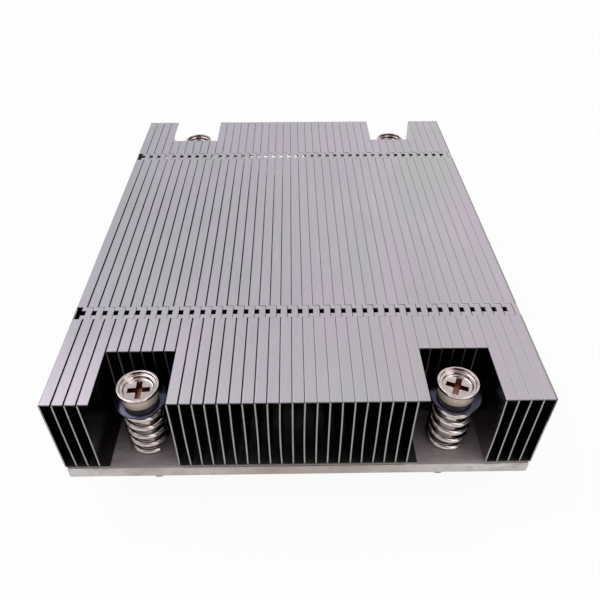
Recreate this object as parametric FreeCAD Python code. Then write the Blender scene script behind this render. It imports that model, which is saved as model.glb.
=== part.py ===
import FreeCAD, Part
import math
import os

# Passive server CPU heatsink: a stack of folded sheet fins that hook into each other, soldered on a
# flat base plate, with four captive spring screws standing in notches at the corners.
#
# Frame, in millimetres: the origin is the centre of the base plate's underside. X runs across the
# fins, Y along the air channels with the front at -Y, and Z up.

Vector = FreeCAD.Vector

# ---- Driving dimensions ----

# Fin stack: from each side, full fins, then fins cut short for a notch, then the middle block
OUTER_FINS = 4
FINS_PER_NOTCH = 6
MIDDLE_FINS = 21
FIN_HEIGHT = 17.8
FIN_PAST_SCREW = 6.25
SHEET_THICKNESS = 0.25
BEND_SIZE = 0.35
SEAM_GAP = 0.12

# Hooks that join each fin to the next, in two rows across the top flanges
HOOK_ROW_PAST_NOTCH = 9.8
HOOK_ROWS_REARWARD = 0.45
HOOK_WINDOW_WIDTH = 3.4
HOOK_WINDOW_REACH = 1.0
HOOK_SIDE_CLEARANCE = 0.08
HOOK_END_CLEARANCE = 0.1
HOOK_SLOT_WIDTH = 1.3
HOOK_SLOT_OVERRUN = 0.1

# Base plate
BASE_THICKNESS = 2.5
BASE_SIDE_INSET = 0.35
BASE_END_OVERHANG = 0.45

# Captive screws
SCREW_SPACING_X = 56.0
SCREW_SPACING_Y = 94.0
SHANK_DIAMETER = 4.4
SHANK_TO_BASE_CLEARANCE = 0.2
SHOULDER_STEP = 0.2
THREAD_LENGTH = 8.7
HEAD_PAST_SHANK = 0.95
HEAD_HEIGHT = 2.45
RIM_PAST_HEAD = 0.55
RIM_HEIGHT = 0.75
RIM_WALL = 0.5
CUP_DEPTH = 1.3
CROSS_WIDTH = 0.9
CROSS_SPAN = 4.0
CROSS_DEPTH = 1.3

# Washer between the screw head and the spring
WASHER_PAST_SPRING = 0.75
WASHER_THICKNESS = 0.5
WASHER_BORE_CLEARANCE = 0.1

# Notches in the fin stack round the screws
NOTCH_END_CLEARANCE = 1.15

# Coil springs, wound left-handed, with closed and ground ends
SPRING_LENGTH = 11.6
SPRING_TO_SHANK_CLEARANCE = 0.45
WIRE_DIAMETER = 1.2
WIRE_END_ANGLE = -54
ACTIVE_TURNS = 4.3
CLOSED_TURNS = 0.25
CLOSED_PITCH_RATIO = 1.08
GROUND_DEPTH_RATIO = 0.25
WIRE_SIDES = 5
STEPS_PER_TURN = 9

# Retaining clips in the screws' grooves, sunk in counterbores in the base's underside
CLIP_PAST_BASE_BORE = 1.0
CLIP_THICKNESS = 0.6
CLIP_BELOW_FACE_CLEARANCE = 0.2
CLIP_TO_COUNTERBORE_CLEARANCE = 0.3
CLIP_MOUTH_SHARE = 0.8
CLIP_FACETS = 12
GROOVE_DEPTH = 0.3
GROOVE_SIDE_CLEARANCE = 0.05
CLIP_BORE_CLEARANCE = 0.05

# ---- Derived sizes and levels ----

CUT_MARGIN = 1.0

thread_diameter = SHANK_DIAMETER - 2 * SHOULDER_STEP
groove_diameter = thread_diameter - 2 * GROOVE_DEPTH
head_diameter = SHANK_DIAMETER + 2 * HEAD_PAST_SHANK
rim_diameter = head_diameter + 2 * RIM_PAST_HEAD
cup_diameter = rim_diameter - 2 * RIM_WALL
coil_diameter = SHANK_DIAMETER + 2 * SPRING_TO_SHANK_CLEARANCE + WIRE_DIAMETER
washer_diameter = coil_diameter + WIRE_DIAMETER + 2 * WASHER_PAST_SPRING
washer_bore_diameter = SHANK_DIAMETER + 2 * WASHER_BORE_CLEARANCE
base_bore_diameter = SHANK_DIAMETER + 2 * SHANK_TO_BASE_CLEARANCE
clip_diameter = base_bore_diameter + 2 * CLIP_PAST_BASE_BORE
counterbore_diameter = clip_diameter + 2 * CLIP_TO_COUNTERBORE_CLEARANCE
clip_seat = CLIP_BELOW_FACE_CLEARANCE + CLIP_THICKNESS

fin_length = SCREW_SPACING_Y + 2 * FIN_PAST_SCREW
folded_fins = 2 * (OUTER_FINS + FINS_PER_NOTCH) + MIDDLE_FINS
fin_pitch = SCREW_SPACING_X / (MIDDLE_FINS + FINS_PER_NOTCH)
flange_reach = fin_pitch - SEAM_GAP
stack_width = folded_fins * fin_pitch + SHEET_THICKNESS
base_width = stack_width - 2 * BASE_SIDE_INSET
base_length = fin_length + 2 * BASE_END_OVERHANG
notch_depth = FIN_PAST_SCREW + washer_diameter / 2 + NOTCH_END_CLEARANCE

window_end = BEND_SIZE + HOOK_WINDOW_REACH
tongue_width = HOOK_WINDOW_WIDTH - 2 * HOOK_SIDE_CLEARANCE
tongue_end = fin_pitch + window_end - HOOK_END_CLEARANCE
slot_end = fin_pitch + HOOK_SLOT_OVERRUN
row_from_middle = fin_length / 2 - notch_depth - HOOK_ROW_PAST_NOTCH
hook_rows = (HOOK_ROWS_REARWARD - row_from_middle, HOOK_ROWS_REARWARD + row_from_middle)

washer_bottom = BASE_THICKNESS + SPRING_LENGTH
head_bottom = washer_bottom + WASHER_THICKNESS
rim_bottom = head_bottom + HEAD_HEIGHT
screw_top = rim_bottom + RIM_HEIGHT
cup_floor = screw_top - CUP_DEPTH
clip_top = clip_seat - GROOVE_SIDE_CLEARANCE
clip_bottom = clip_top - CLIP_THICKNESS
groove_bottom = clip_bottom - GROOVE_SIDE_CLEARANCE
thread_tip = groove_bottom - THREAD_LENGTH

SCREW_PLACES = {
    "front_left": (-SCREW_SPACING_X / 2, -SCREW_SPACING_Y / 2),
    "front_right": (SCREW_SPACING_X / 2, -SCREW_SPACING_Y / 2),
    "rear_left": (-SCREW_SPACING_X / 2, SCREW_SPACING_Y / 2),
    "rear_right": (SCREW_SPACING_X / 2, SCREW_SPACING_Y / 2),
}


# ---- Helpers ----

def box_between(low, high):
    """A box from its lowest to its highest corner."""
    return Part.makeBox(high[0] - low[0], high[1] - low[1], high[2] - low[2], Vector(*low))


def cylinder_between(diameter, bottom, top):
    """An upright cylinder on the Z axis."""
    return Part.makeCylinder(diameter / 2, top - bottom, Vector(0, 0, bottom))


def prism(corner_diameter, sides, bottom, top):
    """An upright prism on the Z axis whose foot is a regular polygon."""
    turns = [2 * math.pi * (side + 0.5) / sides for side in range(sides)]
    corners = [
        Vector(corner_diameter / 2 * math.cos(turn), corner_diameter / 2 * math.sin(turn), bottom)
        for turn in turns
    ]
    return Part.Face(Part.makePolygon(corners + corners[:1])).extrude(Vector(0, 0, top - bottom))


def turned(outline):
    """A solid turned about the Z axis from (radius, height) points."""
    corners = [Vector(radius, 0, height) for radius, height in outline]
    face = Part.Face(Part.makePolygon(corners + corners[:1]))
    return face.revolve(Vector(0, 0, 0), Vector(0, 0, 1), 360)


def save(shape, node):
    """Writes one node's STEP file."""
    shape.exportStep("parts/" + node + ".step")


# ---- Fins ----

def channel_section():
    """The folded fin's C section: an upright web with a flange at its foot and its top."""
    outline = [
        (flange_reach, 0),
        (flange_reach, SHEET_THICKNESS),
        (SHEET_THICKNESS, SHEET_THICKNESS),
        (SHEET_THICKNESS, FIN_HEIGHT - SHEET_THICKNESS),
        (flange_reach, FIN_HEIGHT - SHEET_THICKNESS),
        (flange_reach, FIN_HEIGHT),
        (BEND_SIZE, FIN_HEIGHT),
        (0, FIN_HEIGHT - BEND_SIZE),
        (0, BEND_SIZE),
        (BEND_SIZE, 0),
    ]
    corners = [Vector(x, 0, z) for x, z in outline]
    return Part.Face(Part.makePolygon(corners + corners[:1]))


def hook_window(row):
    """The opening in a fin's top bend and flange that the next tongue lies in."""
    return box_between(
        (-CUT_MARGIN, row - HOOK_WINDOW_WIDTH / 2, FIN_HEIGHT - SHEET_THICKNESS),
        (window_end, row + HOOK_WINDOW_WIDTH / 2, FIN_HEIGHT + CUT_MARGIN),
    )


def hook_slot(row):
    """The narrow slot that runs from the window into the root of the fin's own tongue."""
    return box_between(
        (window_end - HOOK_END_CLEARANCE, row - HOOK_SLOT_WIDTH / 2, FIN_HEIGHT - SHEET_THICKNESS),
        (slot_end, row + HOOK_SLOT_WIDTH / 2, FIN_HEIGHT + CUT_MARGIN),
    )


def hook_tongue(row, reach):
    """The tongue that reaches over the next fin's web into its window."""
    return box_between(
        (flange_reach, row - tongue_width / 2, FIN_HEIGHT - SHEET_THICKNESS),
        (reach, row + tongue_width / 2, FIN_HEIGHT),
    )


def folded_fin(end_setback, tongue_reach):
    """A fin with both flanges, its ends set back by the depth of a notch or by nothing."""
    length = fin_length - 2 * end_setback
    section = channel_section()
    section.translate(Vector(0, -length / 2, 0))
    fin = section.extrude(Vector(0, length, 0))
    fin = fin.fuse([hook_tongue(row, tongue_reach) for row in hook_rows])
    fin = fin.cut([hook_window(row) for row in hook_rows] + [hook_slot(row) for row in hook_rows])
    return fin.removeSplitter()


def closing_web():
    """The last fin: a plain web that closes the stack, notched for the trimmed tongues beside it."""
    web = box_between((0, -fin_length / 2, 0), (SHEET_THICKNESS, fin_length / 2, FIN_HEIGHT))
    return web.cut([hook_window(row) for row in hook_rows])


def fin_left_face(index):
    """Where a fin's web starts, counted from the left edge of the stack."""
    return index * fin_pitch - stack_width / 2


def in_a_notch(index):
    """Whether a fin's ends are set back for the screws, counted in from the nearer side."""
    from_side = min(index, folded_fins - 1 - index)
    return OUTER_FINS <= from_side < OUTER_FINS + FINS_PER_NOTCH


def make_fins():
    full_fin = folded_fin(0, tongue_end)
    notched_fin = folded_fin(notch_depth, tongue_end)
    trimmed_fin = folded_fin(0, fin_pitch + SHEET_THICKNESS)
    fins = [notched_fin if in_a_notch(index) else full_fin for index in range(folded_fins - 1)]
    fins += [trimmed_fin, closing_web()]
    for index, fin in enumerate(fins):
        placed = fin.copy()
        placed.translate(Vector(fin_left_face(index), 0, BASE_THICKNESS))
        save(placed, "fin_%02d" % (index + 1))


# ---- Base plate ----

def stepped_bore(x, y):
    """A screw's bore through the base, with the clip's counterbore from below."""
    through = cylinder_between(base_bore_diameter, -CUT_MARGIN, BASE_THICKNESS + CUT_MARGIN)
    bore = through.fuse(cylinder_between(counterbore_diameter, -CUT_MARGIN, clip_seat))
    bore.translate(Vector(x, y, 0))
    return bore


def make_base_plate():
    plate = box_between(
        (-base_width / 2, -base_length / 2, 0),
        (base_width / 2, base_length / 2, BASE_THICKNESS),
    )
    save(plate.cut([stepped_bore(x, y) for x, y in SCREW_PLACES.values()]), "base_plate")


# ---- Captive screws ----

def screw():
    """A shoulder screw with a cup head, a clip groove and a plain thread cylinder."""
    thread_radius = thread_diameter / 2
    body = turned([
        (0, thread_tip),
        (thread_radius, thread_tip),
        (thread_radius, groove_bottom),
        (groove_diameter / 2, groove_bottom),
        (groove_diameter / 2, clip_seat),
        (SHANK_DIAMETER / 2, clip_seat),
        (SHANK_DIAMETER / 2, head_bottom),
        (head_diameter / 2, head_bottom),
        (head_diameter / 2, rim_bottom),
        (rim_diameter / 2, rim_bottom),
        (rim_diameter / 2, screw_top),
        (cup_diameter / 2, screw_top),
        (cup_diameter / 2, cup_floor),
        (0, cup_floor),
    ])
    cross_floor = cup_floor - CROSS_DEPTH
    half_span = CROSS_SPAN / 2
    half_width = CROSS_WIDTH / 2
    wings = [
        box_between((-half_span, -half_width, cross_floor), (half_span, half_width, screw_top)),
        box_between((-half_width, -half_span, cross_floor), (half_width, half_span, screw_top)),
    ]
    return body.cut(wings)


def washer():
    ring = cylinder_between(washer_diameter, washer_bottom, head_bottom)
    return ring.cut(cylinder_between(washer_bore_diameter, washer_bottom, head_bottom))


def retaining_clip():
    """An open ring, stamped with straight edges, that grips the groove from the side."""
    bore = groove_diameter + 2 * CLIP_BORE_CLEARANCE
    half_mouth = CLIP_MOUTH_SHARE * bore / 2
    bore_corners = bore / math.cos(math.pi / CLIP_FACETS)
    plate = prism(clip_diameter, CLIP_FACETS, clip_bottom, clip_top)
    mouth = box_between((-half_mouth, -clip_diameter, clip_bottom), (half_mouth, 0, clip_top))
    return plate.cut([prism(bore_corners, CLIP_FACETS, clip_bottom, clip_top), mouth])


# ---- Springs ----

def wire_height(turn):
    """The wire centre's height over the lower seat after some turns: closed, open, closed."""
    closed_pitch = WIRE_DIAMETER * CLOSED_PITCH_RATIO
    start = WIRE_DIAMETER * (0.5 - GROUND_DEPTH_RATIO)
    closed_rise = CLOSED_TURNS * closed_pitch
    open_rise = SPRING_LENGTH - 2 * (start + closed_rise)
    if turn < CLOSED_TURNS:
        return start + turn * closed_pitch
    if turn < CLOSED_TURNS + ACTIVE_TURNS:
        return start + closed_rise + (turn - CLOSED_TURNS) * open_rise / ACTIVE_TURNS
    return start + closed_rise + open_rise + (turn - CLOSED_TURNS - ACTIVE_TURNS) * closed_pitch


def wire_section(turn):
    """The wire's corners after some turns, ground flat where they would pass a seat."""
    around = math.radians(WIRE_END_ANGLE) - 2 * math.pi * turn
    corners = []
    for side in range(WIRE_SIDES):
        angle = 2 * math.pi * (side + 0.5) / WIRE_SIDES
        radius = coil_diameter / 2 + WIRE_DIAMETER / 2 * math.cos(angle)
        height = wire_height(turn) + WIRE_DIAMETER / 2 * math.sin(angle)
        height = BASE_THICKNESS + min(max(height, 0), SPRING_LENGTH)
        corners.append(Vector(radius * math.cos(around), radius * math.sin(around), height))
    return corners


def flat_face(*corners):
    return Part.Face(Part.makePolygon(list(corners) + [corners[0]]))


def spring():
    """The coiled wire, as one closed shell of flat facets."""
    turns = 2 * CLOSED_TURNS + ACTIVE_TURNS
    steps = round(turns * STEPS_PER_TURN)
    sections = [wire_section(turns * step / steps) for step in range(steps + 1)]
    faces = [flat_face(*sections[0]), flat_face(*sections[-1])]
    for here, ahead in zip(sections, sections[1:]):
        for side in range(WIRE_SIDES):
            after = (side + 1) % WIRE_SIDES
            faces.append(flat_face(here[side], here[after], ahead[after]))
            faces.append(flat_face(here[side], ahead[after], ahead[side]))
    shell = Part.makeShell(faces)
    shell.sewShape()
    return Part.makeSolid(shell)


def make_screw_sets():
    pieces = {"screw": screw(), "washer": washer(), "retaining_clip": retaining_clip(), "spring": spring()}
    for corner, (x, y) in SCREW_PLACES.items():
        for name, piece in pieces.items():
            placed = piece.copy()
            placed.translate(Vector(x, y, 0))
            save(placed, name + "_" + corner)


os.makedirs("parts", exist_ok=True)
make_base_plate()
make_fins()
make_screw_sets()
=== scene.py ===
"""Looks of a passive server CPU heatsink: folded fins, base plate and captive spring screws.

Lengths are in metres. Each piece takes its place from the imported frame; sizes that the frame's
boxes don't give are named below.
"""
import math
import random
from collections import namedtuple

import bpy
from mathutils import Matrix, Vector


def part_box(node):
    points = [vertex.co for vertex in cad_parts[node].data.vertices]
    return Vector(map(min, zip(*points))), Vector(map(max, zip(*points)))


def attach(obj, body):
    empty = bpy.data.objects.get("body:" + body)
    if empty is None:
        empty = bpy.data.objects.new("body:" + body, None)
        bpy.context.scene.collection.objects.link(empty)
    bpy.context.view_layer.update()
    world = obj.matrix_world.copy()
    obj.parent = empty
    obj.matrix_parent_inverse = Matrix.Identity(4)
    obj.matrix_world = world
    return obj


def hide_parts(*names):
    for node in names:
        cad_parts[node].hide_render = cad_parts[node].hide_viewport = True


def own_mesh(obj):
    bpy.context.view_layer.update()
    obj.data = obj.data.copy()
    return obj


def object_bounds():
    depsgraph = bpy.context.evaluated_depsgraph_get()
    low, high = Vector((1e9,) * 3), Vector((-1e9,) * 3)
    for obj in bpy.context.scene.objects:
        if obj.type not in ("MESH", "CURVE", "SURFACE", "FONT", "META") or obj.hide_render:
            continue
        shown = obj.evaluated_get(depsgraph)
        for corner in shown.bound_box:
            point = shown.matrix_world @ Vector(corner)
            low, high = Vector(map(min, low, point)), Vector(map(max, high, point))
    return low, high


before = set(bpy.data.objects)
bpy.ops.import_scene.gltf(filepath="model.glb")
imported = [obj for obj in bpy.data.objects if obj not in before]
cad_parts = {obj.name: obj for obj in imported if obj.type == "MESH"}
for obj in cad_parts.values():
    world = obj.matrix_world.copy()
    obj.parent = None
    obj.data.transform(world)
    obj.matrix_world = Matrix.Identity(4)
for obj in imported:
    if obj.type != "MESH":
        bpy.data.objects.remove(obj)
cad_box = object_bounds()

MM = 0.001

# Folded sheet. The stack is pressed tighter to its right and to its rear: the first pair is in
# shares of its width, the second in lengths along Y
FIN_COUNT = 42
SHEET = 0.25 * MM
WIDE_SEAM, WIDE_BEND = 0.13 * MM, 0.36 * MM
TIGHT_SEAM, TIGHT_BEND = 0.008 * MM, 0.26 * MM
TIGHT_FROM, TIGHTENS_OVER = 0.52, 0.2
CLOSING_FROM, CLOSES_OVER = 8 * MM, 24 * MM
CLOSING_WEB_EDGE = 0.1 * MM
NOTCH_INSET = 5 * MM
# The full fins whose faces are the side walls of the notches and take the wall's darker painted
# shade
LEFT_OF_NOTCH = (3, 30)
RIGHT_OF_NOTCH = (10, 37)

# How far single fins differ from each other; a lean grows with a high power towards the end
WEB_BOW = 0.12 * MM
BOW_ANGLE = 3
END_LEAN = 0.10 * MM
LEAN_POWER = 8
FLANGE_SAG = 0.05 * MM
SWAY_SEED = 11

# Hooks between neighbouring fins
HOOK_ROWS = (-31.0 * MM, 31.9 * MM)
WINDOW_HALF = 1.7 * MM
TONGUE_HALF = 1.66 * MM
SLOT_HALF = 0.65 * MM
WINDOW_REACH = 1.35 * MM
SLOT_OVERRUN = 0.1 * MM

# How finely the sheet is divided
BEND_STEPS = 5
WEB_STEPS = 8
LENGTH_STEPS = 16
HOOK_MARGIN = 2.4 * MM

# Screw head, from the cup's floor outwards; its middle is cut away by the cross
HEAD_RADIUS = 3.15 * MM
FLOOR_START = 0.05 * MM
CUP_DEPTH = 1.3 * MM
WELL_RADIUS = 2.7 * MM
WELL_EDGE = 0.15 * MM
LEDGE_DEPTH = 0.6 * MM
LEDGE_EDGE = 0.1 * MM
RIM_WALL = 0.5 * MM
RIM_EDGE = 0.06 * MM
RIM_HEIGHT = 0.75 * MM
RIM_BAND = 0.34 * MM
RIM_TAPER = 0.05 * MM
UNDERCUT = 0.18 * MM
UNDERCUT_HEIGHT = 0.22 * MM
HEAD_SIDE_TOP = 0.30 * MM
HEAD_ROUNDING = 0.14 * MM
ROUNDED_SHARE = 0.45
# For the paint: the rim's lower side with its painted dark reflection, the cup's wall with its
# painted reflections, and what counts as upright or flat
UNDERSIDE_TOP = 0.35 * MM
UNDERSIDE_BELOW_RIM = 0.1 * MM
CUP_WALL_TOP = 0.1 * MM
RECESS_TOP = 0.02 * MM
SHANK_MARGIN = 0.1 * MM
UPRIGHT, FLAT = 0.8, 0.95

# Cross recess: half length and half width of its wings, above and at the bottom
WING_ABOVE, WING_BELOW = (2.10 * MM, 0.56 * MM), (1.50 * MM, 0.42 * MM)
FLARE_ABOVE, FLARE_BELOW = (0.88 * MM, 0.88 * MM), (0.62 * MM, 0.62 * MM)
RECESS_REACH = 2.5 * MM
RECESS_DEPTH = 1.3 * MM
RECESS_OVERCUT = 0.3 * MM
# How far each screw's cross is turned, in degrees
CROSS_TURNS = {"front_left": 4, "front_right": -24, "rear_left": 52, "rear_right": 17}

# Screw shaft
SHANK_RADIUS = 2.2 * MM
GROOVE_RADIUS = 1.7 * MM
THREAD_RADIUS = 2.0 * MM
THREAD_CORE_RADIUS = 1.68 * MM
THREAD_PITCH = 0.7 * MM
THREAD_STEPS = 8
RIDGE_SLOPE = 2.4
TIP_CHAMFER, TIP_STEP = 0.5 * MM, 0.35 * MM
SCREW_SEGMENTS = 64

# Springs, washers and clips
WIRE_RADIUS = 0.6 * MM
WIRE_STEPS = 16
SPRING_CLEARANCE = 0.45 * MM
SPRING_TURNS = 4.8
SPRING_STEPS = 64
CLOSED_TURNS = 0.25
CLOSED_PITCH = 1.08 * 2 * WIRE_RADIUS
GROUND_HEIGHT = 0.25 * 2 * WIRE_RADIUS
WIRE_END_ANGLE = math.radians(-54)
WASHER_CLEARANCE = 0.1 * MM
WASHER_EDGE = 0.1 * MM
WASHER_SOFTNESS = 0.3
WASHER_SEGMENTS = 96
CLIP_EDGE = 0.06 * MM
CLIP_CLEARANCE = 0.05 * MM
CLIP_RELIEF = 0.55 * MM
CLIP_RELIEFS = 2
CLIP_LIP, CLIP_SLOPE = 0.35, 0.3
CLIP_MOUTH = math.radians(48)
CLIP_STEPS = 72

# Base plate
PLATE_EDGE = 0.26 * MM
BORE_CLEARANCE = 0.2 * MM
COUNTERBORE_STEP = 1.3 * MM
BORE_SEGMENTS = 72
BORE_OVERCUT = 1 * MM
# Distances from the middle: along X the plate darkens towards the middle, and along Y painted shade
# darkens its faces towards the fins and a painted highlight lightens the strip at their front and
# rear edges
MIDDLE_DARKENING_SPAN = (6 * MM, 34 * MM)
SHADE_SPAN = (43 * MM, 53 * MM)
HIGHLIGHT_SPAN = (53.1 * MM, 53.3 * MM)
NOTCH_SHADE = (0.09, 0.075, 0.075)

# Stage
WHITE = (1.0, 1.0, 1.0)
FLOOR_HALF = 3.0
FLOOR_COLOUR = (0.9, 0.9, 0.9, 1)
FLOOR_GLOW = 0.93
SOFT_LIGHT, SOFT_STRENGTH = (0.97, 0.98, 1.0, 1), 0.6
# Dim patches of the studio that metal reflects: direction, share of the sideways part that
# counts (below 1 the patch is wider than high), inner and outer angle, colour
DIM_PATCHES = (
    ((-0.02, -0.62, 0.78), 0.45, 13, 19, (0.06, 0.025, 0.03)),
    ((-0.95, 0.20, 0.25), 1.0, 18, 95, (0.61, 0.64, 0.73)),
    ((0.0, 0.26, 0.97), 1.0, 15, 42, (0.84, 0.83, 0.84)),
)
# Square lamps: name, place, size, watts
LAMPS = (
    ("key_lamp", (-0.40, 0.10, 0.6), 0.5, 2.0),
    ("fill_lamp", (0.40, -0.30, 0.5), 0.5, 1.0),
)
CAMERA_PLACE = (-0.76 * MM, -115.4 * MM, 96.65 * MM)
CAMERA_DOWN, CAMERA_ASIDE = 41.07, -0.864
CAMERA_LENS, CAMERA_SENSOR = 35.60, 36.0
CAMERA_CLIP = 0.005

# Faces that meet at less than these angles, in degrees, are shaded smooth
SHARP_ANGLE = 30
SCREW_SHARP_ANGLE = 35
FIN_SHARP_ANGLE = 40
SPRING_SHARP_ANGLE = 50

# Sockets of the colour mix node
MIX_FACTOR, MIX_FIRST, MIX_SECOND, MIX_RESULT = 0, 6, 7, 2


# ---- Mesh helpers ----

def clamp(value, low=0, high=1):
    """The nearest value between two limits."""
    return min(max(value, low), high)


def add_mesh(name, vertices, faces, sharp_angle=SHARP_ANGLE, indices=None):
    """A mesh object, smooth where its faces meet at less than the sharp angle."""
    mesh = bpy.data.meshes.new(name)
    mesh.from_pydata(vertices, [], faces)
    mesh.validate()
    mesh.shade_smooth()
    mesh.set_sharp_from_angle(angle=math.radians(sharp_angle))
    if indices:
        mesh.polygons.foreach_set("material_index", indices)
    piece = bpy.data.objects.new(name, mesh)
    bpy.context.scene.collection.objects.link(piece)
    return piece


def flatten_faces(piece):
    """Keeps the shading of large flat faces flat beside their small rounded edges."""
    weighted = piece.modifiers.new("flat_faces", "WEIGHTED_NORMAL")
    weighted.keep_sharp = True
    weighted.weight = 100


def cut_out(piece, cutter):
    """Cuts one mesh out of another and drops the cutter."""
    cut = piece.modifiers.new("cut", "BOOLEAN")
    cut.operation = "DIFFERENCE"
    cut.solver = "EXACT"
    cut.use_self = True
    cut.object = cutter
    depsgraph = bpy.context.evaluated_depsgraph_get()
    result = bpy.data.meshes.new_from_object(piece.evaluated_get(depsgraph))
    result.materials.clear()
    result.set_sharp_from_angle(angle=math.radians(SCREW_SHARP_ANGLE))
    piece.modifiers.clear()
    piece.data = result
    bpy.data.objects.remove(cutter)


def place_on(piece, body, slot, *nodes):
    """Lets a piece ride on a body and stand for CAD nodes; slot is not used."""
    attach(piece, body)
    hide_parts(*nodes)


def angles_round(segments):
    """The angles of evenly spaced points on a circle."""
    return [2 * math.pi * step / segments for step in range(segments)]


def circle(radius, z, segments, x=0.0, y=0.0):
    """One ring of vertices round an upright axis."""
    return [
        (x + radius * math.cos(angle), y + radius * math.sin(angle), z)
        for angle in angles_round(segments)
    ]


def turned_faces(rings, segments):
    """Faces between rings of vertices, with a cap on the first and the last ring."""
    faces = []
    for ring in range(rings - 1):
        for step in range(segments):
            after = (step + 1) % segments
            base = ring * segments
            above = base + segments
            faces.append((base + step, base + after, above + after, above + step))
    last = (rings - 1) * segments
    faces.append(tuple(reversed(range(segments))))
    faces.append(tuple(range(last, last + segments)))
    return faces


def swept_faces(sections, count, closed):
    """Faces between sections of count points each; a sweep that isn't closed gets end caps."""
    faces = []
    for section in range(sections if closed else sections - 1):
        near, far = section * count, (section + 1) % sections * count
        for point in range(count):
            after = (point + 1) % count
            faces.append((near + point, far + point, far + after, near + after))
    if not closed:
        last = (sections - 1) * count
        faces.append(tuple(range(count)))
        faces.append(tuple(reversed(range(last, last + count))))
    return faces


# ---- Materials ----

class Tree:
    """A short way to build a node tree."""

    def __init__(self, owner):
        owner.use_nodes = True
        self.tree = owner.node_tree

    def add(self, kind, **values):
        """A new node with its settings."""
        node = self.tree.nodes.new(kind)
        for key, value in values.items():
            setattr(node, key, value)
        return node

    def link(self, output, target):
        """Links an output to a socket."""
        self.tree.links.new(output, target)

    def feed(self, value, socket):
        """Sets a socket to a number or a colour, or links an output to it."""
        if isinstance(value, (int, float)):
            socket.default_value = value
        elif isinstance(value, tuple):
            socket.default_value = value + (1.0,)
        else:
            self.link(value, socket)

    def mix(self, factor, first, second):
        """Mixes two colours; each is a colour tuple or an output."""
        mix = self.add("ShaderNodeMix", data_type="RGBA")
        self.feed(factor, mix.inputs[MIX_FACTOR])
        self.feed(first, mix.inputs[MIX_FIRST])
        self.feed(second, mix.inputs[MIX_SECOND])
        return mix.outputs[MIX_RESULT]

    def mix_shaders(self, factor, first, second, output_kind):
        """Mixes two shaders and ends the tree."""
        mix = self.add("ShaderNodeMixShader")
        for value, socket in zip((factor, first.outputs[0], second.outputs[0]), mix.inputs):
            self.link(value, socket)
        self.link(mix.outputs[0], self.add(output_kind).inputs["Surface"])

    def ray_share(self, share):
        """A factor that is the share for rays from the camera, mirrors and glass, and else 0."""
        path = self.add("ShaderNodeLightPath")
        total = path.outputs["Is Camera Ray"]
        for name in ("Is Glossy Ray", "Is Transmission Ray"):
            most = self.add("ShaderNodeMath", operation="MAXIMUM")
            self.link(total, most.inputs[0])
            self.link(path.outputs[name], most.inputs[1])
            total = most.outputs[0]
        scaled = self.add("ShaderNodeMath", operation="MULTIPLY")
        scaled.inputs[1].default_value = share
        self.link(total, scaled.inputs[0])
        return scaled.outputs[0]


class Finish(Tree):
    """The node tree of one piece's material."""

    def __init__(self, name):
        self.material = bpy.data.materials.new(name)
        super().__init__(self.material)
        self.shader = self.tree.nodes["Principled BSDF"]
        self.place = self.add("ShaderNodeTexCoord").outputs["Object"]

    def noise(self, scale, stretch=(1, 1, 1), detail=4.0):
        """Noise whose grain is stretched; scale is in cells per metre."""
        mapping = self.add("ShaderNodeMapping")
        mapping.inputs["Scale"].default_value = stretch
        self.link(self.place, mapping.inputs["Vector"])
        noise = self.add("ShaderNodeTexNoise")
        noise.inputs["Scale"].default_value = scale
        noise.inputs["Detail"].default_value = detail
        self.link(mapping.outputs["Vector"], noise.inputs["Vector"])
        return noise.outputs["Fac"]

    def remap(self, value, low, high, from_low=0.3, from_high=0.7):
        """Spreads a value's range, by default most of a noise's, over another one."""
        remap = self.add("ShaderNodeMapRange")
        remap.inputs["From Min"].default_value = from_low
        remap.inputs["From Max"].default_value = from_high
        remap.inputs["To Min"].default_value = low
        remap.inputs["To Max"].default_value = high
        self.link(value, remap.inputs["Value"])
        return remap.outputs["Result"]

    def from_middle(self, axis, near, far, span):
        """A value that changes along X or Y over a span of distances from the middle."""
        parts = self.add("ShaderNodeSeparateXYZ")
        self.link(self.place, parts.inputs["Vector"])
        distance = self.add("ShaderNodeMath", operation="ABSOLUTE")
        self.link(parts.outputs[axis], distance.inputs[0])
        return self.remap(distance.outputs[0], near, far, *span)

    def bump(self, height, distance):
        """Lets a height make fine relief; distance is its depth."""
        bump = self.add("ShaderNodeBump")
        bump.inputs["Distance"].default_value = distance
        self.link(height, bump.inputs["Height"])
        self.link(bump.outputs["Normal"], self.shader.inputs["Normal"])

    def finish(self, colour, roughness, metallic=1.0):
        """Connects the colour and gloss and gives the material back."""
        self.feed(colour, self.shader.inputs["Base Color"])
        self.feed(roughness, self.shader.inputs["Roughness"])
        self.shader.inputs["Metallic"].default_value = metallic
        return self.material


def rolled_aluminium(name, pale, dark, warm, cool, rough, fineness=1):
    """Rolled sheet: streaks along Y, patches, a fine grain and two faint tints that wander."""
    nodes = Finish(name)
    streaks = nodes.noise(60, (60, 1.2, 60), detail=5.0)
    patches = nodes.noise(70 * fineness, (1, 0.7, 1))
    grain = nodes.noise(1100, (1, 0.3, 1), detail=2.0)
    warm_tint = nodes.noise(30, (1.5, 0.8, 1), detail=3.0)
    cool_tint = nodes.noise(43, (1.5, 0.5, 1), detail=3.0)
    colour = nodes.mix(nodes.remap(streaks, 0.0, 0.6), pale, dark)
    colour = nodes.mix(nodes.remap(patches, 0.0, 0.5), colour, dark)
    colour = nodes.mix(nodes.remap(grain, 0.0, 0.25), colour, dark)
    colour = nodes.mix(nodes.remap(warm_tint, 0.0, 0.8), colour, warm)
    colour = nodes.mix(nodes.remap(cool_tint, 0.0, 0.8, 0.45, 0.75), colour, cool)
    nodes.bump(streaks, 0.02 * MM)
    return nodes.finish(colour, nodes.remap(patches, rough - 0.06, rough + 0.08))


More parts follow.
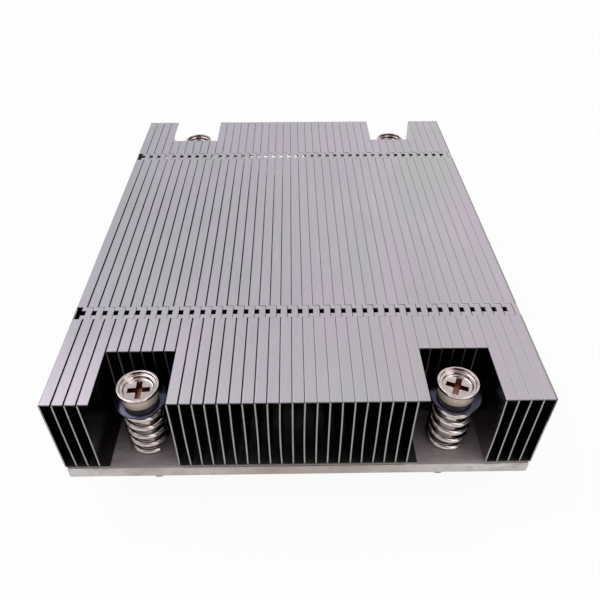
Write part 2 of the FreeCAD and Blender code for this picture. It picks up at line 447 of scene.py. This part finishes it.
def painted_channel_shade():
    """Painted shade: the sheet inside the channels, coloured nearly black for the shade there, since
    it only gathers light from neighbouring walls.
    """
    nodes = Finish("fin_channel")
    streaks = nodes.noise(60, (1, 1.2, 60), detail=3.0)
    colour = nodes.mix(nodes.remap(streaks, 0.0, 1.0), (0.045, 0.040, 0.039), (0.09, 0.080, 0.077))
    return nodes.finish(colour, 0.35)


def milled_plate(name, pale, dark, stain, rough, metallic, painted_shade_and_highlight, blotches):
    """The base plate: fine milling lines, soft stains, a darker middle along X and, on its faces,
    painted shade towards the fins and a painted highlight on the strip at the edges.
    """
    nodes = Finish(name)
    lines = nodes.noise(90, (1.5, 60, 60))
    stains = nodes.noise(130, (0.7, 1, 1), detail=5.0)
    specks = nodes.noise(700, detail=3.0)
    colour = nodes.mix(nodes.remap(lines, 0.0, 0.7), pale, dark)
    colour = nodes.mix(nodes.remap(stains, 0.0, blotches, 0.42, 0.62), colour, stain)
    colour = nodes.mix(nodes.remap(specks, 0.0, 0.9 * blotches, 0.45, 0.70), colour, stain)
    # Darker towards the middle along X
    colour = nodes.mix(nodes.from_middle("X", 0.7, 0.0, MIDDLE_DARKENING_SPAN), colour, stain)
    if painted_shade_and_highlight:
        # Painted shade: the faces darken towards the fins
        colour = nodes.mix(nodes.from_middle("Y", 0.75, 0.0, SHADE_SPAN), colour, NOTCH_SHADE)
        # Painted highlight: the strip at the front and rear edges turns paler
        colour = nodes.mix(nodes.from_middle("Y", 0.0, 0.7, HIGHLIGHT_SPAN), colour, pale)
    nodes.bump(lines, 0.02 * MM)
    return nodes.finish(colour, nodes.remap(stains, rough, rough + 0.15), metallic)


def plated(name, colour, shade, rough, metallic=1.0, spots=1300, spread=0.2):
    """Plating with slight uneven gloss and fine pits; a small spread makes hard spots."""
    nodes = Finish(name)
    clouds = nodes.noise(spots)
    mixed = nodes.mix(nodes.remap(clouds, 0.0, 1.0, 0.5 - spread, 0.5 + spread), colour, shade)
    nodes.bump(clouds, 0.004 * MM)
    return nodes.finish(mixed, nodes.remap(clouds, rough, rough + 0.08), metallic)


# Rolled sheet has a pale, a dark, a warm and a cool colour, milled plate a pale, a dark and a
# stain, and plating a colour and its shade; then comes the roughness
MATERIALS = {
    "fin_top": rolled_aluminium(
        "fin_top", (0.58, 0.56, 0.58), (0.41, 0.40, 0.42),
        (0.56, 0.47, 0.55), (0.46, 0.49, 0.46), 0.36),
    "fin_edge": rolled_aluminium(
        "fin_edge", (0.47, 0.46, 0.44), (0.17, 0.17, 0.16),
        (0.34, 0.33, 0.31), (0.31, 0.34, 0.30), 0.34, fineness=7),
    # Painted shade: near black for the sheet's ends in the notches and on the top flange
    "fin_cut": rolled_aluminium(
        "fin_cut", (0.15, 0.15, 0.14), (0.08, 0.08, 0.08),
        (0.11, 0.10, 0.10), (0.10, 0.11, 0.10), 0.45),
    # The notches' side walls: the sheet made glossier, and darker than the top as painted shade
    "fin_wall": rolled_aluminium(
        "fin_wall", (0.38, 0.36, 0.36), (0.26, 0.25, 0.25),
        (0.32, 0.29, 0.29), (0.28, 0.28, 0.28), 0.18),
    # Painted shade inside the channels between the fins
    "fin_channel": painted_channel_shade(),
    # The plate's flat faces: duller than the sides, and darker as painted shade for the notches'
    # floor
    "base_face": milled_plate(
        "base_face", (0.57, 0.51, 0.52), (0.40, 0.35, 0.35), (0.38, 0.31, 0.32),
        0.40, metallic=0.5, painted_shade_and_highlight=True, blotches=0.9),
    "base_edge": milled_plate(
        "base_edge", (0.62, 0.60, 0.60), (0.49, 0.47, 0.46), (0.34, 0.27, 0.23),
        0.30, metallic=0.9, painted_shade_and_highlight=False, blotches=0.5),
    "screw": plated("screw_plating", (0.72, 0.66, 0.65), (0.50, 0.42, 0.39), 0.06),
    # Painted reflection: hard dark and bright spots on the cup's wall
    "cup_wall_painted_reflection": plated(
        "cup_wall_painted_reflection", (0.70, 0.61, 0.62), (0.09, 0.035, 0.04), 0.06, spots=700, spread=0.1),
    # The head's side: a satin finish whose cream colour is a painted reflection of warm light
    "head_side_painted_reflection": plated("head_side_painted_reflection", (0.74, 0.61, 0.50), (0.62, 0.52, 0.42), 0.40, metallic=0.3),
    # Painted shade in the cross and a painted dark reflection on the rim's lower side
    "recess": plated("recess", (0.34, 0.16, 0.13), (0.20, 0.09, 0.08), 0.25),
    # The thread: a darker copy of the plating, painted shade under the plate
    "thread": plated("thread", (0.30, 0.28, 0.28), (0.20, 0.19, 0.19), 0.25),
    "spring": plated("spring_wire", (0.64, 0.59, 0.57), (0.42, 0.36, 0.34), 0.07),
    "washer": plated("washer_plating", (0.070, 0.070, 0.105), (0.045, 0.045, 0.07), 0.14),
    "clip": plated("clip_steel", (0.12, 0.12, 0.12), (0.07, 0.07, 0.07), 0.35),
}
FIN_MATERIALS = ("fin_top", "fin_edge", "fin_channel", "fin_cut", "fin_wall")
TOP, EDGE, SHADED_CHANNEL, SHADED_CUT, SHADED_WALL = range(5)
SCREW_MATERIALS = ("screw", "head_side_painted_reflection", "recess", "thread", "cup_wall_painted_reflection")
PLATED, SATIN_PAINTED_REFLECTION, PAINTED_DARK, SHADED_THREAD, PAINTED_REFLECTION_WALL = range(5)
BASE_MATERIALS = ("base_face", "base_edge")
PLATE_FACE, PLATE_SIDE = range(2)


def dress(piece, *names):
    """Gives a piece its materials, in the order of their indices."""
    for name in names:
        piece.data.materials.append(MATERIALS[name])


# ---- Fins ----

fin_boxes = [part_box("fin_%02d" % (number + 1)) for number in range(FIN_COUNT)]
fin_pitch = fin_boxes[1][0].x - fin_boxes[0][0].x
fin_foot = fin_boxes[0][0].z
fin_height = fin_boxes[0][1].z - fin_foot
slot_end = fin_pitch + SLOT_OVERRUN

# One step on the way along the folded sheet: x and z, the outward normal's x and z, and how far
# along the top flange it lies
Station = namedtuple("Station", "x z out_x out_z along")
OFF_TOP = -1
TOP_LEVEL = 0.99


def seam_and_bend(index):
    """One fin's gap to the next and its bend radius."""
    share = clamp((TIGHT_FROM - index / FIN_COUNT) / TIGHTENS_OVER)
    gap = TIGHT_SEAM + (WIDE_SEAM - TIGHT_SEAM) * share
    bend = TIGHT_BEND + (WIDE_BEND - TIGHT_BEND) * share
    return gap, bend


def seam_closing(flange_reach, y):
    """How far a flange's edge leans towards its neighbour: the seams close up to the rear."""
    share = clamp((y - CLOSING_FROM) / CLOSES_OVER)
    return share * (fin_pitch - TIGHT_SEAM - flange_reach)


def bend_stations(bend, centre, start, meets_top):
    """Stations round a quarter bend, from an outward angle in degrees."""
    stations = []
    for step in range(BEND_STEPS + 1):
        angle = math.radians(start - 90 * step / BEND_STEPS)
        out_x, out_z = math.cos(angle), math.sin(angle)
        along = 0 if meets_top and step >= 1 else OFF_TOP
        stations.append(Station(bend + bend * out_x, centre + bend * out_z, out_x, out_z, along))
    return stations


def folded_path(reach, flange_reach, bend):
    """Stations from the foot flange's edge, up the web, to the far end of the top flange."""
    low, high = bend, fin_height - bend
    path = [Station(x, 0, 0, -1, OFF_TOP) for x in (flange_reach, flange_reach / 2)]
    path += bend_stations(bend, low, 270, False)
    for step in range(1, WEB_STEPS):
        path.append(Station(0, low + (high - low) * step / WEB_STEPS, -1, 0, OFF_TOP))
    path += bend_stations(bend, high, 180, True)
    for x in (WINDOW_REACH, flange_reach, slot_end, reach):
        if x <= reach:
            path.append(Station(x, fin_height, 0, 1, x))
    return path


def closing_path():
    """Stations of the plain web that ends the stack; the last tongues notch its top edge."""
    path = [Station(0, fin_height * third / 3, -1, 0, OFF_TOP) for third in range(3)]
    path.append(Station(0, fin_height - SHEET, -1, 0, 0))
    path.append(Station(0, fin_height, -1, 0, CLOSING_WEB_EDGE))
    return path


def stops_along(low, high):
    """Places along Y where the sheet is divided: its ends, even steps and the hooks' edges."""
    steps = [low + (high - low) * step / LENGTH_STEPS for step in range(1, LENGTH_STEPS)]
    stops = {low, high}
    stops.update(y for y in steps if all(abs(y - row) > HOOK_MARGIN for row in HOOK_ROWS))
    for row in HOOK_ROWS:
        for half in (WINDOW_HALF, TONGUE_HALF, SLOT_HALF):
            stops.update((row - half, row + half))
    return sorted(stops)


def is_sheet(start, end, y, slotted, flange_reach):
    """Whether the cell between two stations holds sheet at a place along Y."""
    from_row = min(abs(y - row) for row in HOOK_ROWS)
    along = end.along
    if along < 0 or start.along < 0:
        return True
    if along <= WINDOW_REACH:
        return from_row > WINDOW_HALF
    if slotted and along <= slot_end and from_row < SLOT_HALF:
        return False
    if along <= flange_reach:
        return True
    return from_row < TONGUE_HALF


def sheet_cells(path, stops, slotted, flange_reach):
    """For each pair of stations and of stops, whether there is sheet between them."""
    middles = [(low + high) / 2 for low, high in zip(stops, stops[1:])]
    return [
        [is_sheet(start, end, y, slotted, flange_reach) for y in middles]
        for start, end in zip(path, path[1:])
    ]


def sway(chance):
    """How one fin differs from its neighbours, in metres, and where its bow's wave starts."""
    return {
        "bow": chance.uniform(-WEB_BOW, WEB_BOW),
        "front_lean": chance.uniform(-END_LEAN, END_LEAN),
        "rear_lean": chance.uniform(-END_LEAN, END_LEAN),
        "sag": chance.uniform(0.0, FLANGE_SAG),
        "wave": chance.uniform(0, 2 * math.pi),
    }


def sheet_vertices(path, stops, left, flange_reach, habits):
    """The vertices of the outer and then the inner skin, with the fin's own sway."""
    middle, half_length = (stops[0] + stops[-1]) / 2, (stops[-1] - stops[0]) / 2
    vertices = []
    for depth in (0, SHEET):
        for x, z, out_x, out_z, _ in path:
            level = clamp(z / fin_height)
            on_top = level > TOP_LEVEL
            belly = math.sin(math.pi * level)
            drop = habits["sag"] * max(x, 0) / fin_pitch * on_top
            for y in stops:
                end = (y - middle) / half_length
                lean = habits["front_lean"] if end < 0 else habits["rear_lean"]
                bow = habits["bow"] * math.cos(BOW_ANGLE * end + habits["wave"])
                shift = belly * (bow + lean * abs(end) ** LEAN_POWER)
                if x == flange_reach and on_top:
                    shift += seam_closing(flange_reach, y)
                vertices.append((
                    left + x - depth * out_x + shift, y, fin_foot + z - depth * out_z - drop))
    return vertices


def sheet_faces(path, columns, cells, outer, inner, notched):
    """Faces of both skins and of the sheet's edges, and a material index for each."""
    rows = len(path)
    faces, indices = [], []

    def add_face(finish, *corners):
        faces.append(tuple((side * rows + row) * columns + column for side, row, column in corners))
        indices.append(finish)

    def is_gap(row, column):
        inside = 0 <= row < rows - 1 and 0 <= column < columns - 1
        return not (inside and cells[row][column])

    for row in range(rows - 1):
        on_top = path[row].along >= 0 or path[row + 1].along >= 0
        at_foot = path[row + 1].z < SHEET
        outside = TOP if on_top else outer
        # The foot flange's inside takes the edge colour, and beside the notches the channel's
        # painted shade for the wall's shadow
        inside = (SHADED_CHANNEL if inner == SHADED_WALL else EDGE) if at_foot else inner
        # Ends in the notches and on the top flange take the cut colour, painted shade
        cut = SHADED_CUT if notched or on_top else EDGE
        for column in range(columns - 1):
            if not cells[row][column]:
                continue
            a, b = (row, column), (row, column + 1)
            c, d = (row + 1, column + 1), (row + 1, column)
            add_face(outside, (0, *a), (0, *d), (0, *c), (0, *b))
            add_face(inside, (1, *a), (1, *b), (1, *c), (1, *d))
            for neighbour, first, second, finish in (
                ((row - 1, column), a, b, EDGE),
                ((row + 1, column), c, d, EDGE),
                ((row, column - 1), d, a, cut),
                ((row, column + 1), b, c, cut),
            ):
                if is_gap(*neighbour):
                    add_face(finish, (0, *first), (0, *second), (1, *second), (1, *first))
    return faces, indices


def drop_unused(vertices, faces):
    """Leaves out the vertices that no face uses."""
    used = sorted({corner for face in faces for corner in face})
    renumber = {old: new for new, old in enumerate(used)}
    return [vertices[old] for old in used], [tuple(renumber[old] for old in face) for face in faces]


def fin_mesh(index, low, high, habits):
    """One fin: an outer and an inner skin over the sheet's cells, with walls at its edges."""
    closing = index == FIN_COUNT - 1
    gap, bend = seam_and_bend(index)
    flange_reach = fin_pitch - gap
    path = closing_path() if closing else folded_path(high.x - low.x, flange_reach, bend)
    stops = stops_along(low.y, high.y)
    cells = sheet_cells(path, stops, index < FIN_COUNT - 2, flange_reach)
    # Faces inside the channels take the channel's painted shade, the notches' side walls the wall's
    # darker painted shade
    outer = TOP if index == 0 else SHADED_WALL if index in RIGHT_OF_NOTCH else SHADED_CHANNEL
    inner = TOP if closing else SHADED_WALL if index in LEFT_OF_NOTCH else SHADED_CHANNEL
    notched = high.y < cad_box[1].y - NOTCH_INSET
    vertices = sheet_vertices(path, stops, low.x, flange_reach, habits)
    faces, indices = sheet_faces(path, len(stops), cells, outer, inner, notched)
    vertices, faces = drop_unused(vertices, faces)
    return add_mesh("fin_sheet_%02d" % (index + 1), vertices, faces, FIN_SHARP_ANGLE, indices)


def make_fins():
    """All fins from left to right; the first and the closing web stand straight."""
    chance = random.Random(SWAY_SEED)
    for index, (low, high) in enumerate(fin_boxes):
        habits = sway(chance)
        if index == 0:
            habits["bow"] = habits["front_lean"] = habits["rear_lean"] = 0.0
        if index == FIN_COUNT - 1:
            habits = dict.fromkeys(habits, 0.0)
        piece = fin_mesh(index, low, high, habits)
        dress(piece, *FIN_MATERIALS)
        flatten_faces(piece)
        place_on(piece, "heatsink_body", "fin_sheet", "fin_%02d" % (index + 1))


# ---- Screws ----

def rounded(points, radius, steps=3):
    """A profile with its inner corners rounded, at most over a share of each side."""
    result = [points[0]]
    for before, corner, after in zip(points, points[1:], points[2:]):
        arms = []
        for other in (before, after):
            length = math.dist(corner, other)
            share = min(radius, length * ROUNDED_SHARE) / length
            arms.append(tuple(c + (o - c) * share for c, o in zip(corner, other)))
        for step in range(steps + 1):
            t = step / steps
            result.append(tuple(
                (1 - t) ** 2 * p + 2 * t * (1 - t) * c + t * t * q
                for p, c, q in zip(arms[0], corner, arms[1])
            ))
    return result + [points[-1]]


def head_profile(seat, top, rim_radius):
    """Radii and heights from the middle of the cup's floor, over the rim, to the shank."""
    rim_bottom = top - RIM_HEIGHT
    floor = top - CUP_DEPTH
    ledge = top - LEDGE_DEPTH
    cup_radius = rim_radius - RIM_WALL
    neck_radius = HEAD_RADIUS - UNDERCUT
    return rounded([
        (FLOOR_START, floor),
        (WELL_RADIUS - WELL_EDGE, floor),
        (WELL_RADIUS, floor + WELL_EDGE),
        (WELL_RADIUS, ledge),
        (cup_radius - LEDGE_EDGE, ledge),
        (cup_radius, ledge + LEDGE_EDGE),
        (cup_radius, top - RIM_EDGE),
        (cup_radius + RIM_EDGE, top),
        (rim_radius, top),
        (rim_radius, top - RIM_BAND),
        (rim_radius - RIM_TAPER, rim_bottom),
        (neck_radius, rim_bottom),
        (neck_radius, rim_bottom - UNDERCUT_HEIGHT),
        (HEAD_RADIUS, rim_bottom - HEAD_SIDE_TOP),
        (HEAD_RADIUS, seat),
        (SHANK_RADIUS, seat),
    ], HEAD_ROUNDING)


def thread_radius(z, angle, top, bottom):
    """The thread's surface: a ridge that winds round the core and fades at both ends."""
    phase = (z / THREAD_PITCH - angle / (2 * math.pi)) % 1
    ridge = max(0.0, 1 - abs(phase - 0.5) * RIDGE_SLOPE)
    fade = min(1, (top - z) / THREAD_PITCH, (z - bottom) / THREAD_PITCH)
    return THREAD_CORE_RADIUS + (THREAD_RADIUS - THREAD_CORE_RADIUS) * ridge * max(fade, 0)


def screw_mesh(name, seat, groove_top, groove_bottom, tip, top, rim_radius):
    """The shoulder screw about its own axis: cup head, shank, groove and thread."""
    profile = head_profile(seat, top, rim_radius) + [
        (SHANK_RADIUS, groove_top),
        (GROOVE_RADIUS, groove_top),
        (GROOVE_RADIUS, groove_bottom),
        (THREAD_CORE_RADIUS, groove_bottom),
    ]
    vertices = []
    for radius, z in profile:
        vertices += circle(radius, z, SCREW_SEGMENTS)
    length = groove_bottom - tip - TIP_CHAMFER
    count = round(length / THREAD_PITCH * THREAD_STEPS)
    for ring in range(1, count + 1):
        z = groove_bottom - length * ring / count
        for angle in angles_round(SCREW_SEGMENTS):
            radius = thread_radius(z, angle, groove_bottom, tip + TIP_CHAMFER)
            vertices.append((radius * math.cos(angle), radius * math.sin(angle), z))
    vertices += circle(THREAD_CORE_RADIUS - TIP_STEP, tip, SCREW_SEGMENTS)
    faces = turned_faces(len(profile) + count + 1, SCREW_SEGMENTS)
    return add_mesh(name, vertices, faces, SCREW_SHARP_ANGLE)


def screw_finish(centre, normal, seat, groove_top, top):
    """The finish of one face of a screw, by where it lies and which way it looks."""
    rim_bottom = top - RIM_HEIGHT
    cup_floor = top - CUP_DEPTH
    radius = math.hypot(centre.x, centre.y)
    faces_out = centre.x * normal.x + centre.y * normal.y > 0
    in_cross = radius < RECESS_REACH and seat < centre.z < cup_floor - RECESS_TOP
    under_rim = rim_bottom - UNDERSIDE_BELOW_RIM < centre.z < top - UNDERSIDE_TOP
    # Below the clip the screw takes the thread colour, painted shade
    if centre.z < groove_top:
        return SHADED_THREAD
    # The cross takes painted shade and the rim's lower side a painted dark reflection
    if in_cross or (faces_out and radius > HEAD_RADIUS and under_rim):
        return PAINTED_DARK
    # The head's side takes the satin finish with its painted cream reflection
    if faces_out and radius > SHANK_RADIUS + SHANK_MARGIN and seat < centre.z < rim_bottom:
        return SATIN_PAINTED_REFLECTION
    upright = abs(normal.z) < UPRIGHT
    # The cup's wall takes the painted reflection
    if upright and not faces_out and cup_floor < centre.z < top - CUP_WALL_TOP:
        return PAINTED_REFLECTION_WALL
    return PLATED


def tapered_block(upper, lower, ceiling, floor):
    """Corners and faces of a block whose half sizes shrink from its ceiling to its floor."""
    vertices = []
    for z, (span, width) in ((ceiling, upper), (floor, lower)):
        vertices += [(-span, -width, z), (span, -width, z), (span, width, z), (-span, width, z)]
    faces = [(0, 1, 2, 3), (7, 6, 5, 4), (0, 4, 5, 1), (1, 5, 6, 2), (2, 6, 7, 3), (3, 7, 4, 0)]
    return vertices, faces


def cross_cutter(cup_floor):
    """The driver recess: two crossed wings that narrow downwards, with a flared middle."""
    vertices, faces = [], []
    for above, below, degrees in (
        (WING_ABOVE, WING_BELOW, 0),
        (WING_ABOVE, WING_BELOW, 90),
        (FLARE_ABOVE, FLARE_BELOW, 45),
    ):
        start = len(vertices)
        corners, sides = tapered_block(
            above, below, cup_floor + RECESS_OVERCUT, cup_floor - RECESS_DEPTH)
        cosine, sine = math.cos(math.radians(degrees)), math.sin(math.radians(degrees))
        vertices += [(x * cosine - y * sine, x * sine + y * cosine, z) for x, y, z in corners]
        faces += [tuple(start + corner for corner in side) for side in sides]
    return add_mesh("cross_cutter", vertices, faces)


def make_screw(corner, x, y, seat, clip_box):
    """One captive screw on its washer, with its cross cut and its faces painted."""
    low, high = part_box("screw_" + corner)
    clip_low, clip_high = clip_box
    screw = screw_mesh(
        "captive_screw_" + corner, seat, clip_high.z + CLIP_CLEARANCE, clip_low.z - CLIP_CLEARANCE,
        low.z, high.z, (high.x - low.x) / 2)
    cut_out(screw, cross_cutter(high.z - CUP_DEPTH))
    dress(screw, *SCREW_MATERIALS)
    for face in screw.data.polygons:
        face.material_index = screw_finish(face.center, face.normal, seat, clip_high.z, high.z)
    screw.rotation_euler.z = math.radians(CROSS_TURNS[corner])
    screw.location = (x, y, 0)
    flatten_faces(screw)
    place_on(screw, "screw_body_" + corner, "screw_plating", "screw_" + corner)


# ---- Washers, clips and springs ----

def make_washer(corner, x, y, low, high):
    """The flat washer with its edges broken, more softly outside."""
    bore = SHANK_RADIUS + WASHER_CLEARANCE
    rim = (high.x - low.x) / 2
    edge, soft = WASHER_EDGE, WASHER_SOFTNESS * WASHER_EDGE
    outline = [
        (bore, low.z + edge), (bore + edge, low.z), (rim - edge, low.z),
        (rim - soft, low.z + soft), (rim, low.z + edge),
        (rim, high.z - edge), (rim - soft, high.z - soft),
        (rim - edge, high.z), (bore + edge, high.z), (bore, high.z - edge),
    ]
    vertices = []
    for angle in angles_round(WASHER_SEGMENTS):
        vertices += [(r * math.cos(angle), r * math.sin(angle), z) for r, z in outline]
    faces = swept_faces(WASHER_SEGMENTS, len(outline), True)
    washer = add_mesh("flat_washer_" + corner, vertices, faces)
    dress(washer, "washer")
    washer.location = (x, y, 0)
    flatten_faces(washer)
    place_on(washer, "washer_body_" + corner, "washer_plating", "washer_" + corner)


def clip_inner_radius(share):
    """The clip grips the groove at its ends and middle and stands off between them."""
    lip = abs(((share * 2 * CLIP_RELIEFS + 1) % 2) - 1)
    return GROOVE_RADIUS + CLIP_CLEARANCE + CLIP_RELIEF * clamp((lip - CLIP_LIP) / CLIP_SLOPE)


def make_clip(corner, x, y, low, high):
    """A sprung ring with a mouth towards the front."""
    outer = (high.x - low.x) / 2
    edge = CLIP_EDGE
    vertices = []
    for step in range(CLIP_STEPS + 1):
        share = step / CLIP_STEPS
        angle = -math.pi / 2 + CLIP_MOUTH + (2 * math.pi - 2 * CLIP_MOUTH) * share
        inner = clip_inner_radius(share)
        section = [
            (inner, low.z + edge), (inner + edge, low.z),
            (outer - edge, low.z), (outer, low.z + edge),
            (outer, high.z - edge), (outer - edge, high.z),
            (inner + edge, high.z), (inner, high.z - edge),
        ]
        vertices += [(r * math.cos(angle), r * math.sin(angle), z) for r, z in section]
    faces = swept_faces(CLIP_STEPS + 1, len(section), False)
    clip = add_mesh("open_ring_" + corner, vertices, faces)
    dress(clip, "clip")
    clip.location = (x, y, 0)
    place_on(clip, "screw_body_" + corner, "clip_steel", "retaining_clip_" + corner)


def coil_height(turn, length):
    """The wire centre's height over its lower seat: closed end, open coil, closed end."""
    closed_rise = GROUND_HEIGHT + CLOSED_TURNS * CLOSED_PITCH
    open_turns = SPRING_TURNS - 2 * CLOSED_TURNS
    open_pitch = (length - 2 * closed_rise) / open_turns
    if turn < CLOSED_TURNS:
        return GROUND_HEIGHT + turn * CLOSED_PITCH
    if turn < CLOSED_TURNS + open_turns:
        return closed_rise + (turn - CLOSED_TURNS) * open_pitch
    return length - GROUND_HEIGHT - (SPRING_TURNS - turn) * CLOSED_PITCH


def make_spring(corner, x, y, low, high):
    """Round wire coiled between two seats, ground flat where it meets them."""
    count = round(SPRING_TURNS * SPRING_STEPS)
    coil_radius = SHANK_RADIUS + SPRING_CLEARANCE + WIRE_RADIUS
    length = high - low
    vertices = []
    for step in range(count + 1):
        turn = SPRING_TURNS * step / count
        around = WIRE_END_ANGLE - 2 * math.pi * turn
        centre = coil_height(turn, length)
        for angle in angles_round(WIRE_STEPS):
            radius = coil_radius + WIRE_RADIUS * math.cos(angle)
            z = low + clamp(centre + WIRE_RADIUS * math.sin(angle), 0, length)
            vertices.append((x + radius * math.cos(around), y + radius * math.sin(around), z))
    faces = turned_faces(count + 1, WIRE_STEPS)
    spring = add_mesh("coil_spring_" + corner, vertices, faces, SPRING_SHARP_ANGLE)
    dress(spring, "spring")
    place_on(spring, "heatsink_body", "spring_wire", "spring_" + corner)
    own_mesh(spring)


def screw_axis(corner):
    """Where a corner's screw stands, read from its washer."""
    low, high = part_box("washer_" + corner)
    return (low.x + high.x) / 2, (low.y + high.y) / 2


def make_screw_sets():
    """Screw, washer, clip and spring of each corner."""
    base_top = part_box("base_plate")[1].z
    for corner in CROSS_TURNS:
        x, y = screw_axis(corner)
        washer_low, washer_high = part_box("washer_" + corner)
        clip_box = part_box("retaining_clip_" + corner)
        make_screw(corner, x, y, washer_high.z, clip_box)
        make_washer(corner, x, y, washer_low, washer_high)
        make_clip(corner, x, y, *clip_box)
        make_spring(corner, x, y, base_top, washer_low.z)


# ---- Base plate ----

def bore_cutter(x, y, foot, seat, top):
    """The shape of one screw bore with its counterbore from below."""
    bore = SHANK_RADIUS + BORE_CLEARANCE
    counterbore = bore + COUNTERBORE_STEP
    vertices = []
    for radius, z in ((counterbore, foot), (counterbore, seat), (bore, seat), (bore, top)):
        vertices += circle(radius, z, BORE_SEGMENTS, x, y)
    return add_mesh("bore_cutter", vertices, turned_faces(4, BORE_SEGMENTS))


def make_base_plate():
    """The plate with its edges broken and its stepped screw bores."""
    low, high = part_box("base_plate")
    vertices = [(x, y, z) for z in (low.z, high.z) for y in (low.y, high.y) for x in (low.x, high.x)]
    faces = [(0, 2, 3, 1), (4, 5, 7, 6), (0, 1, 5, 4), (2, 6, 7, 3), (0, 4, 6, 2), (1, 3, 7, 5)]
    base = add_mesh("bevelled_plate", vertices, faces)
    bevel = base.modifiers.new("broken_edges", "BEVEL")
    bevel.width = PLATE_EDGE
    bevel.segments = 2
    for corner in CROSS_TURNS:
        x, y = screw_axis(corner)
        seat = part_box("retaining_clip_" + corner)[1].z + CLIP_CLEARANCE
        cut_out(base, bore_cutter(x, y, low.z - BORE_OVERCUT, seat, high.z + BORE_OVERCUT))
    dress(base, *BASE_MATERIALS)
    for face in base.data.polygons:
        # Flat faces take the darker face colour, painted shade; the sides the paler edge colour
        face.material_index = PLATE_FACE if abs(face.normal.z) > FLAT else PLATE_SIDE
    flatten_faces(base)
    place_on(base, "heatsink_body", "base_metal", "base_plate")


# ---- Floor, light and camera ----

def make_floor():
    """A pale floor that shows white away from the object and keeps a soft shadow."""
    signs = ((-1, -1), (1, -1), (1, 1), (-1, 1))
    corners = [(x * FLOOR_HALF, y * FLOOR_HALF, cad_box[0].z) for x, y in signs]
    floor = add_mesh("floor", corners, [(0, 1, 2, 3)])
    material = bpy.data.materials.new("floor")
    nodes = Tree(material)
    nodes.tree.nodes.clear()
    diffuse = nodes.add("ShaderNodeBsdfDiffuse")
    diffuse.inputs["Color"].default_value = FLOOR_COLOUR
    glow = nodes.add("ShaderNodeEmission")
    nodes.mix_shaders(nodes.ray_share(FLOOR_GLOW), diffuse, glow, "ShaderNodeOutputMaterial")
    floor.data.materials.append(material)


def dim_patch(nodes, place, direction, sideways, inner, outer):
    """A share that is 1 within the inner angle of a direction and 0 beyond the outer one."""
    narrowed = nodes.add("ShaderNodeVectorMath", operation="MULTIPLY")
    narrowed.inputs[1].default_value = (sideways, 1, 1)
    nodes.link(place, narrowed.inputs[0])
    unit = nodes.add("ShaderNodeVectorMath", operation="NORMALIZE")
    nodes.link(narrowed.outputs["Vector"], unit.inputs[0])
    towards = nodes.add("ShaderNodeVectorMath", operation="DOT_PRODUCT")
    centre = Vector((direction[0] * sideways, direction[1], direction[2]))
    towards.inputs[1].default_value = centre.normalized()
    nodes.link(unit.outputs["Vector"], towards.inputs[0])
    patch = nodes.add("ShaderNodeMapRange", interpolation_type="SMOOTHSTEP")
    patch.inputs["From Min"].default_value = math.cos(math.radians(outer))
    patch.inputs["From Max"].default_value = math.cos(math.radians(inner))
    nodes.link(towards.outputs["Value"], patch.inputs["Value"])
    return patch.outputs["Result"]


def make_world():
    """Plain soft light from all round; metal sees white with a dark patch in front and above,
    where the photographer stands, a softly dimmer left side and a slightly dimmer ceiling.
    """
    world = bpy.data.worlds.new("studio")
    bpy.context.scene.world = world
    nodes = Tree(world)
    nodes.tree.nodes.clear()
    soft = nodes.add("ShaderNodeBackground")
    soft.inputs["Color"].default_value = SOFT_LIGHT
    soft.inputs["Strength"].default_value = SOFT_STRENGTH
    place = nodes.add("ShaderNodeTexCoord").outputs["Generated"]
    tone = WHITE
    for direction, sideways, inner, outer, colour in DIM_PATCHES:
        patch = dim_patch(nodes, place, direction, sideways, inner, outer)
        tone = nodes.mix(patch, tone, colour)
    backdrop = nodes.add("ShaderNodeBackground")
    camera_ray = nodes.add("ShaderNodeLightPath").outputs["Is Camera Ray"]
    nodes.link(nodes.mix(camera_ray, tone, WHITE), backdrop.inputs["Color"])
    nodes.mix_shaders(nodes.ray_share(1.0), soft, backdrop, "ShaderNodeOutputWorld")


def make_lights():
    """Soft square lamps that point at the object's middle."""
    middle = (cad_box[0] + cad_box[1]) / 2
    for name, place, size, watts in LAMPS:
        data = bpy.data.lights.new(name, "AREA")
        data.shape = "SQUARE"
        data.size = size
        data.energy = watts
        lamp = bpy.data.objects.new(name, data)
        lamp.location = place
        direction = middle - lamp.location
        lamp.rotation_euler = direction.to_track_quat("-Z", "Y").to_euler()
        bpy.context.scene.collection.objects.link(lamp)


def make_camera():
    """The view from the front and above, a little left of the middle."""
    data = bpy.data.cameras.new("camera")
    data.lens = CAMERA_LENS
    data.sensor_width = CAMERA_SENSOR
    data.clip_start = CAMERA_CLIP
    camera = bpy.data.objects.new("camera", data)
    camera.location = CAMERA_PLACE
    camera.rotation_euler = (math.radians(90 - CAMERA_DOWN), 0, math.radians(CAMERA_ASIDE))
    bpy.context.scene.collection.objects.link(camera)
    bpy.context.scene.camera = camera


bpy.context.scene.view_settings.view_transform = "Standard"
make_base_plate()
make_fins()
make_screw_sets()
make_floor()
make_world()
make_lights()
make_camera()
